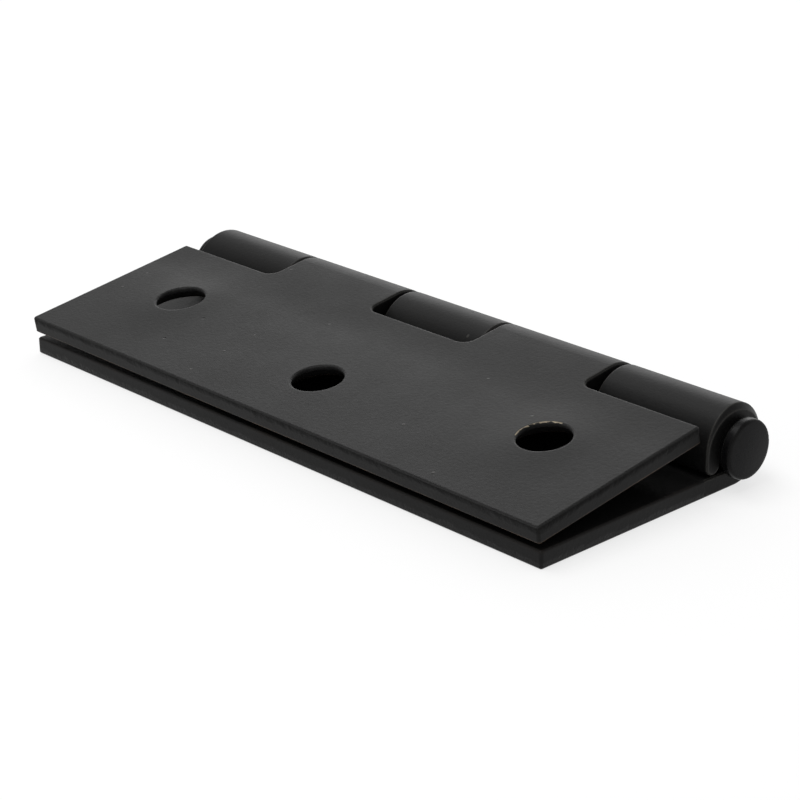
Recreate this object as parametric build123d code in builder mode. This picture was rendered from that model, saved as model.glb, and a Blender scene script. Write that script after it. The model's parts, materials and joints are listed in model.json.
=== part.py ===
from build123d import *
import math
import os

# Steel butt hinge: two leaves cut from flat sheet, each with knuckles rolled round one headed pin.
# X runs along the pin, +Y from the free edges to the knuckles, and the lower leaf lies on Z = 0.
# The origin is midway between the lower leaf's two outer screw holes, on its outer face.

# Driving sizes of the leaves, in millimetres
leaf_length = 76.0
leaf_width = 26.0  # pin axis to free edge
sheet = 1.8
corner_radius = 0.3
notch_radius = 1.3
edge_chamfer = 0.15

# Knuckles and pin
pin_diameter = 4.4
pin_clearance = 0.05  # radial, between the pin and the rolled bore
neck_diameter = 5.2  # between each head and the end of the barrel
neck_length = 0.55
head_diameter = 5.9
head_length = 1.05  # neck to the rim of the face
head_dome = 0.15
head_face_diameter = 5.7
head_taper = 0.25  # length of the taper from the head's side to its face
head_face_round = 0.12
head_back_chamfer = 0.12
end_knuckle_length = 14.5  # the first and last of the lower leaf's three
middle_knuckle_length = 13.8
end_play = 0.5  # axial room on each side of an upper knuckle when it is centred
notch_clearance = 0.45  # notch edge to the barrel's outline, seen square to the leaf
roll_gap = 0.15  # the roll's straight end to the leaf's inner face
rim_ease = 0.6  # how far the barrel's two end rims are cut back, where the cut is deepest
rim_ease_fade = -135  # where that cut fades out, in degrees round the barrel, the leaf being at -90

# Screw holes, countersunk from the inner face
hole_diameter = 5.4
countersink_diameter = 8.2
hole_land = 0.4  # straight wall left below the countersink
hole_rim_chamfer = 0.12
hole_pitch = 54.5  # between the two outer holes
outer_hole_setback = 13.9  # from the pin axis
middle_hole_setback = 18.0

# How the upper leaf lies in the photographed pose
rest_gap = 0.55  # between the inner faces at the free edges
slide_left = 0.2  # how far the upper leaf has slid along the pin, out of its end play

# Sizes that follow from these
bore_radius = pin_diameter / 2 + pin_clearance
barrel_radius = bore_radius + sheet
inner_offset = bore_radius  # pin axis to either leaf's inner face
notch_setback = barrel_radius + notch_clearance
roll_tip = sheet + roll_gap + sheet / 2  # where the straight end's rounding starts, above the outer face
countersink_angle = 2 * math.degrees(
    math.atan2((countersink_diameter - hole_diameter) / 2, sheet - hole_land)
)
reach = math.hypot(leaf_width, inner_offset)
rest_tilt = math.degrees(
    math.atan2(inner_offset, leaf_width) + math.asin((inner_offset - rest_gap) / reach)
)
tilt_cos = math.cos(math.radians(rest_tilt))
tilt_sin = math.sin(math.radians(rest_tilt))

# Where the knuckles and the notches between them lie along the pin
half_length = leaf_length / 2
end_start = half_length - end_knuckle_length
middle_end = middle_knuckle_length / 2
upper_start = middle_end + end_play
upper_end = end_start - end_play
past_end = half_length + barrel_radius
lower_notches = [(-end_start, -middle_end), (middle_end, end_start)]
upper_notches = [(-past_end, -upper_end), (-upper_start, upper_start), (upper_end, past_end)]

# Each leaf is drawn on a plane square to the pin: local X points at the barrel along the outer face,
# local Y goes through the sheet to the inner face, and its origin is where the face meets the barrel.
lower_place = Plane(origin=(0, outer_hole_setback, 0), x_dir=(0, 1, 0), z_dir=(1, 0, 0))
upper_place = Plane(
    origin=(
        -slide_left,
        outer_hole_setback - barrel_radius * tilt_sin,
        barrel_radius + barrel_radius * tilt_cos,
    ),
    x_dir=(0, tilt_cos, tilt_sin),
    z_dir=(-1, 0, 0),
)


def near(value, target):
    """Whether two lengths are the same, for finding faces and edges by their place."""
    return math.isclose(value, target, abs_tol=0.01)


def inner_face(place):
    """Plane on a leaf's inner face, local X along the pin and local Y towards the barrel."""
    return Plane(
        origin=place.origin + place.y_dir * sheet, x_dir=place.z_dir, z_dir=place.y_dir
    )


def roll_sheet(place):
    """Sheet of full length with one edge rolled three quarters round and then straight to the leaf."""
    with BuildSketch(place) as section:
        with BuildLine():
            outer_flat = Line((-leaf_width, 0), (0, 0))
            outer_roll = CenterArc((0, barrel_radius), barrel_radius, -90, 270)
            inner_roll = CenterArc((0, barrel_radius), bore_radius, -90, 270)
            Line(outer_roll @ 1, (-barrel_radius, roll_tip))
            Line(inner_roll @ 1, (-bore_radius, roll_tip))
            CenterArc((-bore_radius - sheet / 2, roll_tip), sheet / 2, 180, 180)
            inner_flat = Line((0, sheet), (-leaf_width, sheet))
            Line(inner_flat @ 1, outer_flat @ 0)
        make_face()
    extrude(section.sketch, amount=half_length, both=True)


def cut_notches(place, spans):
    """Clears the barrel over each span, so the other leaf's knuckles fit between."""
    depth = notch_setback + 2 * barrel_radius
    with BuildSketch(inner_face(place)) as openings:
        for start, end in spans:
            with Locations(((start + end) / 2, depth / 2 - notch_setback)):
                Rectangle(end - start, depth)
    extrude(openings.sketch, amount=3 * barrel_radius, both=True, mode=Mode.SUBTRACT)


def in_flat(shapes, place):
    """Those of some faces or edges that lie in the flat of the sheet and not in its roll."""
    return shapes.filter_by(lambda shape: place.to_local_coords(shape.center()).Y < sheet)


def through_edges(shape, place):
    """Edges that go through the flat of the sheet."""
    return in_flat(shape.edges().filter_by(Axis((0, 0, 0), place.y_dir)), place)


def corner_edges(part, place, at_ends):
    """Edges through the sheet, either at the leaf's two ends or inside its notches."""
    return through_edges(part, place).filter_by(
        lambda edge: near(abs(place.to_local_coords(edge.center()).Z), half_length) == at_ends
    )


def cut_edges(part, place):
    """Edges round the outline of both faces of the sheet and of the knuckle ends."""
    pin_way = Axis((0, 0, 0), (1, 0, 0))
    leaf_way = Axis((0, 0, 0), place.x_dir)
    sheet_way = Axis((0, 0, 0), place.y_dir)
    cut_faces = part.faces().filter_by(pin_way) + in_flat(part.faces().filter_by(leaf_way), place)
    for face in part.faces().filter_by(GeomType.CYLINDER):
        if face.axis_of_rotation.is_parallel(sheet_way):
            cut_faces.append(face)
    outline = ShapeList()
    for face in cut_faces:
        outline += face.edges() - through_edges(face, place)
    return outline


def rim_cones(place):
    """What comes off the barrel's two end rims. The cones' axis stands off the pin's, so the cut
    is deepest on the barrel's back and fades out towards the leaf and the roll's straight end."""
    fade = math.radians(rim_ease_fade)
    offset = rim_ease / 2
    overshoot = rim_ease / 4
    tip = barrel_radius - offset - overshoot
    rise = rim_ease + 2 * overshoot
    cone_centre = (offset * math.cos(fade), barrel_radius + offset * math.sin(fade), 0)
    cone_place = Plane(
        origin=place.from_local_coords(cone_centre), x_dir=place.z_dir, z_dir=place.x_dir
    )
    with BuildPart() as cones:
        with BuildSketch(cone_place):
            outside = half_length + overshoot
            Polygon(
                (outside, tip), (outside, tip + rise), (outside - rise, tip + rise), align=None
            )
            mirror(about=Plane.YZ)
        revolve(axis=Axis(cone_place.origin, place.z_dir))
        with BuildSketch(place):
            with Locations((0, barrel_radius)):
                Rectangle(2 * barrel_radius, 2 * barrel_radius, align=(Align.MAX, Align.MAX))
        extrude(amount=past_end, both=True, mode=Mode.SUBTRACT)
    return cones.part


def screw_holes(place):
    """Two outer holes and one set back from them, countersunk on the inner face."""
    with Locations(inner_face(place)):
        with Locations(
            (-hole_pitch / 2, -outer_hole_setback),
            (0, -middle_hole_setback),
            (hole_pitch / 2, -outer_hole_setback),
        ):
            CounterSinkHole(
                radius=hole_diameter / 2,
                counter_sink_radius=countersink_diameter / 2,
                counter_sink_angle=countersink_angle,
            )


def hole_rims(part, place):
    """Hole edges on the outer face."""
    circles = part.edges().filter_by(GeomType.CIRCLE)
    return circles.filter_by(
        lambda edge: near(edge.radius, hole_diameter / 2)
        and near(place.to_local_coords(edge.arc_center).Y, 0)
    )


# Lower leaf, with the two end knuckles and the middle one
end_rims = rim_cones(lower_place)
with BuildPart() as lower_leaf:
    roll_sheet(lower_place)
    cut_notches(lower_place, lower_notches)
    fillet(corner_edges(lower_leaf, lower_place, at_ends=False), notch_radius)
    fillet(corner_edges(lower_leaf, lower_place, at_ends=True), corner_radius)
    chamfer(cut_edges(lower_leaf, lower_place), edge_chamfer)
    add(end_rims, mode=Mode.SUBTRACT)
    screw_holes(lower_place)
    chamfer(hole_rims(lower_leaf, lower_place), hole_rim_chamfer)

# Upper leaf, with the two knuckles between them
with BuildPart() as upper_leaf:
    roll_sheet(upper_place)
    cut_notches(upper_place, upper_notches)
    fillet(corner_edges(upper_leaf, upper_place, at_ends=False), notch_radius)
    fillet(corner_edges(upper_leaf, upper_place, at_ends=True), corner_radius)
    chamfer(cut_edges(upper_leaf, upper_place), edge_chamfer)
    screw_holes(upper_place)
    chamfer(hole_rims(upper_leaf, upper_place), hole_rim_chamfer)

# Pin, with a necked button head against each end of the barrel
pin_place = Plane(
    origin=(0, outer_hole_setback, barrel_radius), x_dir=(1, 0, 0), z_dir=(0, -1, 0)
)
pin_radius = pin_diameter / 2
neck_radius = neck_diameter / 2
head_radius = head_diameter / 2
face_radius = head_face_diameter / 2
head_back = half_length + neck_length
face_rim = head_back + head_length
taper_start = face_rim - head_taper
head_end = face_rim + head_dome
with BuildPart() as hinge_pin:
    with BuildSketch(pin_place) as pin_section:
        with BuildLine():
            Polyline(
                (0, pin_radius),
                (half_length, pin_radius),
                (half_length, neck_radius),
                (head_back, neck_radius),
                (head_back, head_radius - head_back_chamfer),
                (head_back + head_back_chamfer, head_radius),
                (taper_start, head_radius),
                (face_rim, face_radius),
            )
            TangentArc((head_end, 0), (face_rim, face_radius), tangent=(0, 1))
            Polyline((head_end, 0), (0, 0), (0, pin_radius))
        make_face()
        fillet(pin_section.vertices().sort_by_distance((face_rim, face_radius))[0], head_face_round)
        mirror(about=Plane.YZ)
    revolve(axis=Axis(pin_place.origin, (1, 0, 0)))

# Files, one per piece
os.makedirs("parts", exist_ok=True)
lower_leaf.part.label = "lower_leaf"
export_step(lower_leaf.part, "parts/lower_leaf.step")
upper_leaf.part.label = "upper_leaf"
export_step(upper_leaf.part, "parts/upper_leaf.step")
hinge_pin.part.label = "hinge_pin"
export_step(hinge_pin.part, "parts/hinge_pin.step")
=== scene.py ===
import bpy
import json
import math
from mathutils import Matrix, Vector

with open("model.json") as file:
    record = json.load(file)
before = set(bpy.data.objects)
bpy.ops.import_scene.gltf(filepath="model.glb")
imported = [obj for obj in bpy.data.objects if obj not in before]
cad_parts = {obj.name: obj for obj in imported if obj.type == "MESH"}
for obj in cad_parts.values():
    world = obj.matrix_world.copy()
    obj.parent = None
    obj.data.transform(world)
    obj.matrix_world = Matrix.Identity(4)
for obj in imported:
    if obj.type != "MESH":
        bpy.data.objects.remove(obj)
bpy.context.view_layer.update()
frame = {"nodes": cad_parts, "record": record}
scene = bpy.context.scene
MM = 0.001
MOUNTS = {mount["name"]: mount for mount in frame["record"]["mounts"]}
PIN_AXIS = Vector(frame["record"]["behaviour"]["joints"][0]["pos_m"])

# Camera, fitted to the leaf edges, holes and knuckles in the photograph
CAMERA_PLACE = Vector((166.239, -145.393, 90.086)) * MM
CAMERA_YAW = 137.616
CAMERA_PITCH = -21.821
CAMERA_ROLL = -0.975
CAMERA_CLIP_START = 0.01
FOCAL_PIXELS = 2359.7
IMAGE_PIXELS = 800
SENSOR = 36.0

# Light: a soft room that is brighter behind the object, a back lamp and one overhead.
# A span says how far a direction leans that way, where the level starts and stops rising.
ROOM_FRONT = 0.37
ROOM_BACK = 1.15
ROOM_BACK_WAY = Vector((-0.70, 0.68, -0.2))
ROOM_BACK_SPAN = (-0.4, 0.95)
ROOM_FILL = 0.5  # added from the front right, which lights the back and the left end
ROOM_FILL_WAY = Vector((0.60, -0.78, 0.15))
ROOM_FILL_SPAN = (0.5, 0.95)

# Floor, in metres
FLOOR_WHITE = 0.9
FLOOR_SEEN_WHITE = 0.7  # share of plain white that the camera and reflections see in the floor
FLOOR_FADE = (0.15, 0.45)  # that share rises to one over these distances from the origin
FLOOR_FLAT = 1.2  # radius of the level part
FLOOR_RIM = 2.6  # radius of the whole
FLOOR_RIM_HEIGHT = 0.25
FLOOR_SIDES = 64

# Sizes of the part that the paint follows
SHEET = 1.8 * MM
BARREL_RADIUS = 4.05 * MM
HOLE_RADIUS = 2.7 * MM
HEAD_END = 39.75 * MM
HEAD_FACE_RADIUS = 2.85 * MM
HEAD_DOME = 0.15 * MM

# Noise ranges: what most of a noise's values lie between, and narrower ones for more contrast
NOISE_RANGE = (0.3, 0.7)
TONE_RANGE = (0.36, 0.64)
PIN_TONE_RANGE = (0.35, 0.65)

# Colour and gloss of the leaves' paint. Scales are in cells per metre.
PAINT_DARK = (0.0026, 0.0026, 0.0027, 1)
PAINT_LIGHT = (0.0046, 0.0044, 0.0042, 1)
PAINT_SPECULAR = 0.14
PAINT_ROUGHNESS = (0.44, 0.54)
EDGE_ROUGHNESS = 0.33
EDGE_POLISH = 0.6  # how far edges go towards that
INNER_ROUGHNESS = 0.62
INNER_SKIN = 0.05 * MM  # what counts as the inner face
DRIFT_SCALE = 160
GRAIN_SCALE = 2600
GRAIN_IN_TONE = 0.6
GRAIN_IN_GLOSS = 0.5
# Pale grey of the paint's specks, also used for lighter edges that are partly wear and partly a
# painted highlight
SPECK_AND_HIGHLIGHT_GREY = (0.05, 0.048, 0.044, 1)
SPECK_STRENGTH = 0.55
SPECKS = {"scale": 220, "radius": 0.19 * MM, "share": 0.16}
PITS = {"scale": 170, "radius": 0.2 * MM, "share": 0.08}

# Worn edges of the leaves
EDGE_REACH = 0.3 * MM
EDGE_LIKENESS = (0.995, 0.93)  # of the rounded and the true normal, from open face to edge
ROLL_START = 0.35 * MM  # from the barrel's outline to where the flat of a leaf counts as ended
TAN_EDGE = (0.10, 0.06, 0.034, 1)
TAN_BAND = (0.35 * MM, 0.15 * MM)  # from the inner face, where the tan paint starts and is full
TAN_SCALE = 300
TAN_SHARE_LOWER = 0.1
TAN_SHARE_UPPER = 1.0
BARREL_EDGE_WEAR_AND_HIGHLIGHT = 0.75  # how grey the knuckles' edges are: partly wear and partly a painted highlight along their rims
RUBBED_FLAT = 0.07  # how grey the flat's edges are
BARE_STEEL = (0.24, 0.205, 0.15, 1)
CHIP_SCALE = 1100
CHIP_RANGE = (0.76, 0.78)

# Chips on one hole's rim
RIM_CHIP_SPREAD = 0.14 * MM  # out from the hole's wall
RIM_CHIP_DEPTH = 0.16 * MM
RIM_CHIP_SCALE = 2200
RIM_CHIP_RANGE = (0.42, 0.75)
RIM_CHIP_WAY = (-0.888, 0.459, 0)  # along the pin and towards it
RIM_CHIP_START = 1.55 * MM  # from the hole's centre, that way

# Relief of the leaves, heights in millimetres
ROUNDING = 0.25 * MM
WAVE_SCALE = 70
WAVE_HEIGHT = 0.04
GRAIN_HEIGHT = 0.023
NIB_HEIGHT = 0.02
PIT_DEPTH = 0.05
ROOT_RISE = 0.55  # where the sheet starts to bend into the knuckles
ROOT_SPAN = (-10 * MM, 1.5 * MM)  # from the pin's line
SWELLINGS = (0.4, 0.05, 0.3)  # round the left, middle and right hole
SWELLING_REACH = 5.5 * MM
SHEAR_BAND = 0.8
SHEAR_STEEPNESS = 0.9
SHEAR_SCALE = 700
SHEAR_UNEVEN = (0.75, 1.35)

# Paint on the pin
PIN_DARK = (0.002, 0.002, 0.0023, 1)
PIN_LIGHT = (0.0035, 0.0034, 0.0036, 1)
PIN_SPECULAR = 0.075
PIN_ROUGHNESS = (0.24, 0.34)
PIN_DRIFT_SCALE = 500
PIN_GRAIN_SCALE = 4200
PIN_GRAIN_HEIGHT = 0.008
PIN_EDGE_REACH = 0.25 * MM
# Lighter grey on the pin's edges, partly wear and partly a painted highlight on the head rims
PIN_EDGE_WEAR_AND_HIGHLIGHT = 0.25
PIN_ROUNDING = 0.4 * MM
PIN_FACE_MARGIN = 0.7 * MM  # left to the rounding round the domed faces


def feed(tree, socket, value):
    """Links a node's output to a socket, or sets a plain value on it."""
    if isinstance(value, bpy.types.NodeSocket):
        tree.links.new(value, socket)
    else:
        socket.default_value = value


def new_material(name):
    """An empty node material with its output and shader."""
    mat = bpy.data.materials.new(name)
    mat.use_nodes = True
    tree = mat.node_tree
    tree.nodes.clear()
    out = tree.nodes.new("ShaderNodeOutputMaterial")
    shader = tree.nodes.new("ShaderNodeBsdfPrincipled")
    tree.links.new(shader.outputs["BSDF"], out.inputs["Surface"])
    return mat, tree, shader


def object_coords(tree):
    """Coordinates that stay with a node as it moves, in the frame at rest."""
    return tree.nodes.new("ShaderNodeTexCoord").outputs["Object"]


def noise(tree, coords, scale, detail=3.0, roughness=0.5):
    """Soft noise around one half."""
    node = tree.nodes.new("ShaderNodeTexNoise")
    node.inputs["Scale"].default_value = scale
    node.inputs["Detail"].default_value = detail
    node.inputs["Roughness"].default_value = roughness
    tree.links.new(coords, node.inputs["Vector"])
    return node.outputs["Fac"]


def remap(tree, value, low, high, to_low=0.0, to_high=1.0, smooth=False):
    """Takes one range of values to another, and holds at its ends."""
    node = tree.nodes.new("ShaderNodeMapRange")
    if smooth:
        node.interpolation_type = "SMOOTHSTEP"
    node.inputs["From Min"].default_value = low
    node.inputs["From Max"].default_value = high
    node.inputs["To Min"].default_value = to_low
    node.inputs["To Max"].default_value = to_high
    tree.links.new(value, node.inputs["Value"])
    return node.outputs["Result"]


def calc(tree, operation, first, second=0.0):
    """One step of arithmetic."""
    node = tree.nodes.new("ShaderNodeMath")
    node.operation = operation
    feed(tree, node.inputs[0], first)
    feed(tree, node.inputs[1], second)
    return node.outputs[0]


def plus(tree, first, second):
    return calc(tree, "ADD", first, second)


def times(tree, first, second):
    return calc(tree, "MULTIPLY", first, second)


def vector_calc(tree, operation, first, second=None, output="Vector"):
    """One step of vector arithmetic, on one vector or two."""
    node = tree.nodes.new("ShaderNodeVectorMath")
    node.operation = operation
    feed(tree, node.inputs[0], first)
    if second is not None:
        feed(tree, node.inputs[1], second)
    return node.outputs[output]


def dot(tree, first, second):
    return vector_calc(tree, "DOT_PRODUCT", first, second, "Value")


def length(tree, vector):
    return vector_calc(tree, "LENGTH", vector, output="Value")


def mix_colour(tree, factor, first, second):
    """From the first colour to the second."""
    node = tree.nodes.new("ShaderNodeMix")
    node.data_type = "RGBA"
    feed(tree, node.inputs["Factor"], factor)
    feed(tree, node.inputs[6], first)
    feed(tree, node.inputs[7], second)
    return node.outputs[2]


def mix_value(tree, factor, first, second):
    """From the first number to the second."""
    node = tree.nodes.new("ShaderNodeMix")
    feed(tree, node.inputs["Factor"], factor)
    feed(tree, node.inputs[2], first)
    feed(tree, node.inputs[3], second)
    return node.outputs[0]


def mix_vector(tree, factor, first, second):
    """From the first vector to the second."""
    node = tree.nodes.new("ShaderNodeMix")
    node.data_type = "VECTOR"
    feed(tree, node.inputs["Factor"], factor)
    feed(tree, node.inputs[4], first)
    feed(tree, node.inputs[5], second)
    return node.outputs[1]


def rounded_normal(tree, radius):
    """The surface normal as if sharp edges had a small radius."""
    bevel = tree.nodes.new("ShaderNodeBevel")
    bevel.samples = 6
    bevel.inputs["Radius"].default_value = radius
    return bevel.outputs["Normal"]


def edge_mask(tree, radius):
    """One along sharp edges and nothing on open faces."""
    true_normal = tree.nodes.new("ShaderNodeNewGeometry").outputs["Normal"]
    likeness = dot(tree, rounded_normal(tree, radius), true_normal)
    return remap(tree, likeness, *EDGE_LIKENESS)


def sparse_dots(tree, flat, scale, radius, share):
    """Small round dots, in a given share of the cells of a loose flat pattern."""
    cells = tree.nodes.new("ShaderNodeTexVoronoi")
    cells.voronoi_dimensions = "2D"
    cells.inputs["Scale"].default_value = scale
    tree.links.new(flat, cells.inputs["Vector"])
    dots = remap(tree, cells.outputs["Distance"], radius * scale, 0.5 * radius * scale)
    cell_colour = tree.nodes.new("ShaderNodeSeparateColor")
    tree.links.new(cells.outputs["Color"], cell_colour.inputs["Color"])
    return times(tree, dots, calc(tree, "LESS_THAN", cell_colour.outputs[0], share))


def bump(tree, height_mm, normal):
    """Bump from a height in millimetres."""
    node = tree.nodes.new("ShaderNodeBump")
    node.inputs["Strength"].default_value = 1.0
    node.inputs["Distance"].default_value = MM
    tree.links.new(height_mm, node.inputs["Height"])
    tree.links.new(normal, node.inputs["Normal"])
    return node.outputs["Normal"]


def leaf_place(back_mount):
    """A leaf's own axes: a point on its outer face, the way to the pin, and the way into the sheet."""
    mount = MOUNTS[back_mount]
    inward = -Vector(mount["axis"]).normalized()
    to_pin = Vector((1, 0, 0)).cross(inward)
    if to_pin.y < 0:
        to_pin.negate()
    return Vector(mount["pos_m"]), to_pin, inward


def leaf_coords(tree, coords, place):
    """A point's place flat on its leaf, along the pin and towards it, and its depth in the sheet."""
    origin, to_pin, inward = place
    offset = vector_calc(tree, "SUBTRACT", coords, origin)
    flat = tree.nodes.new("ShaderNodeCombineXYZ")
    tree.links.new(dot(tree, offset, (1, 0, 0)), flat.inputs[0])
    tree.links.new(dot(tree, offset, to_pin), flat.inputs[1])
    return flat.outputs[0], dot(tree, offset, inward)


def on_leaf(place, point):
    """A point of the frame as flat leaf coordinates."""
    origin, to_pin, _ = place
    offset = Vector(point) - origin
    return Vector((offset.x, offset.dot(to_pin), 0))


def rim_chips(tree, coords, flat, depth, centre):
    """Chipped paint on the side of a hole's outer rim that is nearer the pin."""
    offset = vector_calc(tree, "SUBTRACT", flat, centre)
    near = calc(tree, "LESS_THAN", length(tree, offset), HOLE_RADIUS + RIM_CHIP_SPREAD)
    ragged = noise(tree, coords, RIM_CHIP_SCALE, detail=2)
    reach = remap(tree, ragged, *RIM_CHIP_RANGE, 0.0, RIM_CHIP_DEPTH)
    shallow = calc(tree, "LESS_THAN", depth, reach)
    side = calc(tree, "GREATER_THAN", dot(tree, offset, RIM_CHIP_WAY), RIM_CHIP_START)
    return times(tree, times(tree, near, shallow), side)


def swelling(tree, flat, centre, height):
    """Height of the low swelling that the countersink's tool left round a hole."""
    away = length(tree, vector_calc(tree, "SUBTRACT", flat, centre))
    ratio = calc(tree, "DIVIDE", away, SWELLING_REACH)
    fall = calc(tree, "EXPONENT", times(tree, times(tree, ratio, ratio), -1.0))
    return times(tree, fall, height)


def sheared_edge(tree, coords, depth):
    """Height of the cut edge below the face that the shear pulled round."""
    patchy = noise(tree, coords, SHEAR_SCALE, roughness=0.6)
    uneven = remap(tree, patchy, *NOISE_RANGE, *SHEAR_UNEVEN)
    below = remap(tree, times(tree, depth, uneven), 0.0, SHEAR_BAND * MM, 0.0, SHEAR_BAND)
    eased = times(tree, times(tree, below, below), 0.5 / SHEAR_BAND)
    return times(tree, calc(tree, "SUBTRACT", below, eased), SHEAR_STEEPNESS)


def leaf_paint(name, place, holes, tan_share, chipped_hole=None):
    """Thin satin black paint over cut and rolled steel."""
    mat, tree, shader = new_material(name)
    coords = object_coords(tree)
    flat, depth = leaf_coords(tree, coords, place)
    to_pin = dot(tree, flat, (0, 1, 0))
    pin_line = on_leaf(place, PIN_AXIS).y
    in_flat = calc(tree, "LESS_THAN", to_pin, pin_line - BARREL_RADIUS - ROLL_START)
    edge = edge_mask(tree, EDGE_REACH)
    drift = noise(tree, coords, DRIFT_SCALE, roughness=0.6)
    grain = noise(tree, coords, GRAIN_SCALE, roughness=0.7)
    specks = sparse_dots(tree, flat, **SPECKS)
    pits = sparse_dots(tree, flat, **PITS)

    # Colour: a slow drift, a fine grain and a few pale specks
    tone = mix_value(tree, GRAIN_IN_TONE, drift, grain)
    colour = mix_colour(tree, remap(tree, tone, *TONE_RANGE), PAINT_DARK, PAINT_LIGHT)
    colour = mix_colour(tree, times(tree, specks, SPECK_STRENGTH), colour, SPECK_AND_HIGHLIGHT_GREY)

    # Edges: paint that is thin and tan along the inner rim, lighter grey from wear and, on the
    # knuckles, from a painted highlight, and chipped to bare steel
    tan_start, tan_full = TAN_BAND
    inner_rim = remap(tree, depth, SHEET - tan_start, SHEET - tan_full)
    patchy = remap(tree, noise(tree, coords, TAN_SCALE, detail=2), *NOISE_RANGE, 0.0, tan_share)
    tan = times(tree, times(tree, times(tree, edge, inner_rim), in_flat), patchy)
    colour = mix_colour(tree, tan, colour, TAN_EDGE)
    # Painted highlight with some wear: edges are lightened grey, strongly on the knuckles to stand for
    # the light their rims catch
    edge_wear_and_highlight = times(tree, edge, mix_value(tree, in_flat, BARREL_EDGE_WEAR_AND_HIGHLIGHT, RUBBED_FLAT))
    colour = mix_colour(tree, edge_wear_and_highlight, colour, SPECK_AND_HIGHLIGHT_GREY)
    spots = remap(tree, noise(tree, coords, CHIP_SCALE, roughness=0.6), *CHIP_RANGE)
    chips = times(tree, edge, spots)
    if chipped_hole is not None:
        chips = calc(tree, "MAXIMUM", chips, rim_chips(tree, coords, flat, depth, chipped_hole))
    colour = mix_colour(tree, chips, colour, BARE_STEEL)
    tree.links.new(colour, shader.inputs["Base Color"])
    tree.links.new(chips, shader.inputs["Metallic"])

    # Gloss: uneven, rubbed smoother along the edges and duller on the inner face
    gloss = mix_value(tree, GRAIN_IN_GLOSS, drift, grain)
    rough = remap(tree, gloss, *NOISE_RANGE, *PAINT_ROUGHNESS)
    rough = mix_value(tree, times(tree, edge, EDGE_POLISH), rough, EDGE_ROUGHNESS)
    inside = times(tree, calc(tree, "GREATER_THAN", depth, SHEET - INNER_SKIN), in_flat)
    rough = mix_value(tree, inside, rough, INNER_ROUGHNESS)
    tree.links.new(rough, shader.inputs["Roughness"])
    shader.inputs["Specular IOR Level"].default_value = PAINT_SPECULAR

    # Relief: the sheet's waviness, the paint's grain, nibs and pits, the sheared edges,
    # the start of the bend and the swelling round the holes
    height = times(tree, noise(tree, coords, WAVE_SCALE, detail=1), WAVE_HEIGHT)
    height = plus(tree, height, times(tree, grain, GRAIN_HEIGHT))
    height = plus(tree, height, times(tree, specks, NIB_HEIGHT))
    height = plus(tree, height, times(tree, pits, -PIT_DEPTH))
    height = plus(tree, height, times(tree, sheared_edge(tree, coords, depth), in_flat))
    bend_start, bend_end = ROOT_SPAN
    bend = remap(tree, to_pin, pin_line + bend_start, pin_line + bend_end, 0.0, ROOT_RISE, smooth=True)
    height = plus(tree, height, bend)
    for centre, rise in zip(holes, SWELLINGS):
        height = plus(tree, height, swelling(tree, flat, centre, rise))
    tree.links.new(bump(tree, height, rounded_normal(tree, ROUNDING)), shader.inputs["Normal"])
    return mat


def head_normal(tree, coords, normal):
    """The domed faces' true normals, which their coarse facets only come near to."""
    offset = vector_calc(tree, "SUBTRACT", coords, PIN_AXIS)
    across = vector_calc(tree, "MULTIPLY", offset, (0, 1, 1))
    dome_radius = (HEAD_FACE_RADIUS ** 2 + HEAD_DOME ** 2) / (2 * HEAD_DOME)
    ends = vector_calc(tree, "MULTIPLY", vector_calc(tree, "SIGN", offset), (dome_radius, 0, 0))
    turned = tree.nodes.new("ShaderNodeVectorTransform")
    turned.vector_type = "NORMAL"
    turned.convert_from = "OBJECT"
    turned.convert_to = "WORLD"
    tree.links.new(vector_calc(tree, "ADD", across, ends), turned.inputs[0])
    dome = vector_calc(tree, "NORMALIZE", turned.outputs[0])
    inner = calc(tree, "LESS_THAN", length(tree, across), HEAD_FACE_RADIUS - PIN_FACE_MARGIN)
    along = dot(tree, vector_calc(tree, "ABSOLUTE", offset), (1, 0, 0))
    outer = calc(tree, "GREATER_THAN", along, HEAD_END - 2 * HEAD_DOME)
    return mix_vector(tree, times(tree, inner, outer), normal, dome)


def pin_paint(name):
    """Glossier black on the turned pin."""
    mat, tree, shader = new_material(name)
    coords = object_coords(tree)
    drift = noise(tree, coords, PIN_DRIFT_SCALE, roughness=0.6)
    grain = noise(tree, coords, PIN_GRAIN_SCALE, detail=2, roughness=0.6)
    edge = edge_mask(tree, PIN_EDGE_REACH)
    colour = mix_colour(tree, remap(tree, drift, *PIN_TONE_RANGE), PIN_DARK, PIN_LIGHT)
    # Painted highlight with some wear: the pin's edges are lightened grey
    colour = mix_colour(tree, times(tree, edge, PIN_EDGE_WEAR_AND_HIGHLIGHT), colour, SPECK_AND_HIGHLIGHT_GREY)
    tree.links.new(colour, shader.inputs["Base Color"])
    rough = remap(tree, drift, *NOISE_RANGE, *PIN_ROUGHNESS)
    tree.links.new(rough, shader.inputs["Roughness"])
    shader.inputs["Specular IOR Level"].default_value = PIN_SPECULAR
    height = times(tree, grain, PIN_GRAIN_HEIGHT)
    normal = head_normal(tree, coords, rounded_normal(tree, PIN_ROUNDING))
    tree.links.new(bump(tree, height, normal), shader.inputs["Normal"])
    return mat


def dress(node, mat):
    """Puts one material on a node of the part."""
    for slot in frame["nodes"][node].material_slots:
        slot.material = mat


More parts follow.
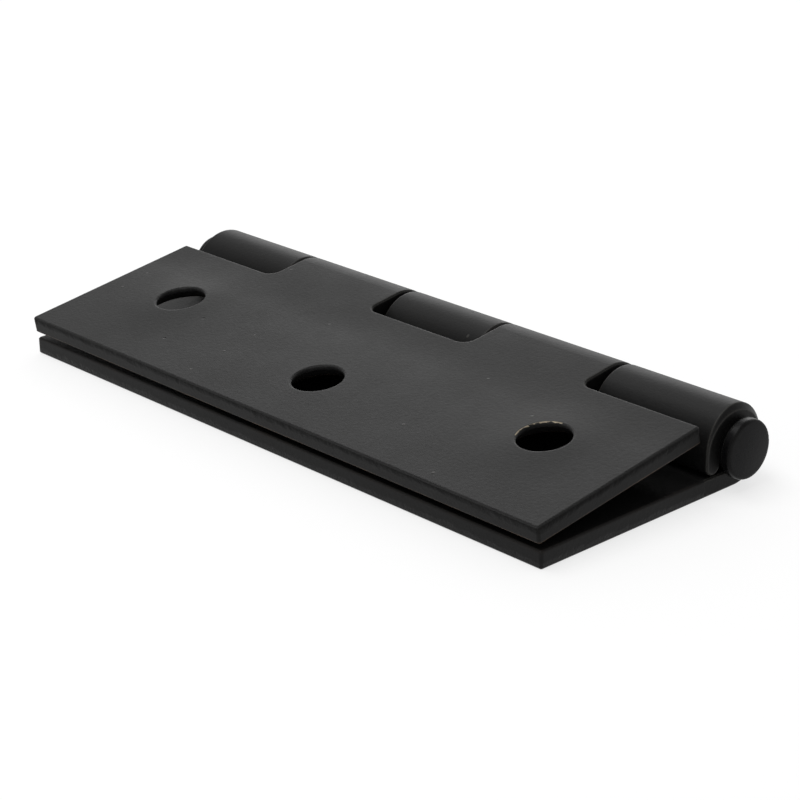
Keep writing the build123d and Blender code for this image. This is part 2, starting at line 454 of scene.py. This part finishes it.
def dress_part():
    """Paints the two leaves and the pin. Holes go from left to right."""
    lower = leaf_place("lower_back")
    half_pitch = MOUNTS["lower_screws"]["dims"]["spacing_x_mm"] / 2 * MM
    lower_holes = [
        on_leaf(lower, (-half_pitch, 0, 0)),
        on_leaf(lower, MOUNTS["lower_middle_screw"]["pos_m"]),
        on_leaf(lower, (half_pitch, 0, 0)),
    ]
    upper = leaf_place("upper_back")
    upper_holes = []
    for side in ("left", "middle", "right"):
        upper_holes.append(on_leaf(upper, MOUNTS["upper_" + side + "_screw"]["pos_m"]))
    lower_paint = leaf_paint("lower_leaf_paint", lower, lower_holes, TAN_SHARE_LOWER)
    upper_paint = leaf_paint(
        "upper_leaf_paint", upper, upper_holes, TAN_SHARE_UPPER, chipped_hole=upper_holes[2]
    )
    dress("lower_leaf", lower_paint)
    dress("upper_leaf", upper_paint)
    dress("hinge_pin", pin_paint("pin_paint"))


def white_to_view(tree, shader_out, share):
    """Mixes in plain white where the camera or a reflection looks straight at the surface."""
    path = tree.nodes.new("ShaderNodeLightPath")
    seen = calc(tree, "MAXIMUM", path.outputs["Is Camera Ray"], path.outputs["Is Glossy Ray"])
    seen = calc(tree, "MAXIMUM", seen, path.outputs["Is Transmission Ray"])
    white = tree.nodes.new("ShaderNodeEmission")
    white.inputs["Color"].default_value = (1, 1, 1, 1)
    white.inputs["Strength"].default_value = 1.0
    mix = tree.nodes.new("ShaderNodeMixShader")
    tree.links.new(times(tree, seen, share), mix.inputs["Fac"])
    tree.links.new(shader_out, mix.inputs[1])
    tree.links.new(white.outputs[0], mix.inputs[2])
    return mix.outputs[0]


def floor_paint(name):
    """Matt white that keeps a soft shadow near the object and is plain white further off."""
    mat = bpy.data.materials.new(name)
    mat.use_nodes = True
    tree = mat.node_tree
    tree.nodes.clear()
    out = tree.nodes.new("ShaderNodeOutputMaterial")
    matt = tree.nodes.new("ShaderNodeBsdfDiffuse")
    matt.inputs["Color"].default_value = (FLOOR_WHITE, FLOOR_WHITE, FLOOR_WHITE, 1)
    away = length(tree, object_coords(tree))
    share = remap(tree, away, *FLOOR_FADE, FLOOR_SEEN_WHITE, 1.0, smooth=True)
    tree.links.new(white_to_view(tree, matt.outputs[0], share), out.inputs["Surface"])
    return mat


def floor():
    """A round white floor whose far rim rises a little, so that low views end in white."""
    points = []
    for radius, height in ((FLOOR_FLAT, 0.0), (FLOOR_RIM, FLOOR_RIM_HEIGHT)):
        for step in range(FLOOR_SIDES):
            turn = 2 * math.pi * step / FLOOR_SIDES
            points.append((radius * math.cos(turn), radius * math.sin(turn), height))
    faces = [tuple(range(FLOOR_SIDES))]
    for step in range(FLOOR_SIDES):
        after = (step + 1) % FLOOR_SIDES
        faces.append((step, after, FLOOR_SIDES + after, FLOOR_SIDES + step))
    mesh = bpy.data.meshes.new("floor")
    mesh.from_pydata(points, [], faces)
    mesh.materials.append(floor_paint("floor_white"))
    obj = bpy.data.objects.new("floor", mesh)
    scene.collection.objects.link(obj)


def area_lamp(name, place, target, size, power):
    """A rectangular lamp that faces a point."""
    lamp = bpy.data.lights.new(name, "AREA")
    lamp.shape = "RECTANGLE"
    lamp.size, lamp.size_y = size
    lamp.energy = power
    obj = bpy.data.objects.new(name, lamp)
    obj.location = place
    obj.rotation_euler = (Vector(target) - Vector(place)).to_track_quat("-Z", "Y").to_euler()
    scene.collection.objects.link(obj)


def room():
    """Soft white light from all round, brighter from behind the object and from the front right."""
    world = bpy.data.worlds.new("room")
    world.use_nodes = True
    tree = world.node_tree
    way = tree.nodes.new("ShaderNodeTexCoord").outputs["Generated"]
    level = remap(tree, dot(tree, way, ROOM_BACK_WAY), *ROOM_BACK_SPAN, ROOM_FRONT, ROOM_BACK)
    fill = remap(tree, dot(tree, way, ROOM_FILL_WAY), *ROOM_FILL_SPAN, 0.0, ROOM_FILL, smooth=True)
    background = tree.nodes["Background"]
    background.inputs["Color"].default_value = (1, 1, 1, 1)
    tree.links.new(plus(tree, level, fill), background.inputs["Strength"])
    scene.world = world


def camera():
    """The camera at the photograph's viewing angle."""
    cam = bpy.data.cameras.new("camera")
    cam.sensor_width = SENSOR
    cam.lens = FOCAL_PIXELS / IMAGE_PIXELS * SENSOR
    cam.clip_start = CAMERA_CLIP_START
    obj = bpy.data.objects.new("camera", cam)
    turn = (
        Matrix.Rotation(math.radians(CAMERA_YAW - 90), 4, "Z")
        @ Matrix.Rotation(math.radians(90 + CAMERA_PITCH), 4, "X")
        @ Matrix.Rotation(math.radians(CAMERA_ROLL), 4, "Z")
    )
    obj.matrix_world = Matrix.Translation(CAMERA_PLACE) @ turn
    scene.collection.objects.link(obj)
    scene.camera = obj


dress_part()
floor()
room()
camera()
area_lamp("back_lamp", place=(-0.325, 0.375, 0.21), target=(0, 0, 0), size=(0.35, 0.30), power=0.48)
area_lamp(
    "overhead_lamp", place=(-0.11, -0.10, 0.50), target=(-0.05, 0, 0), size=(0.5, 0.25), power=1.6
)
scene.view_settings.view_transform = "Standard"
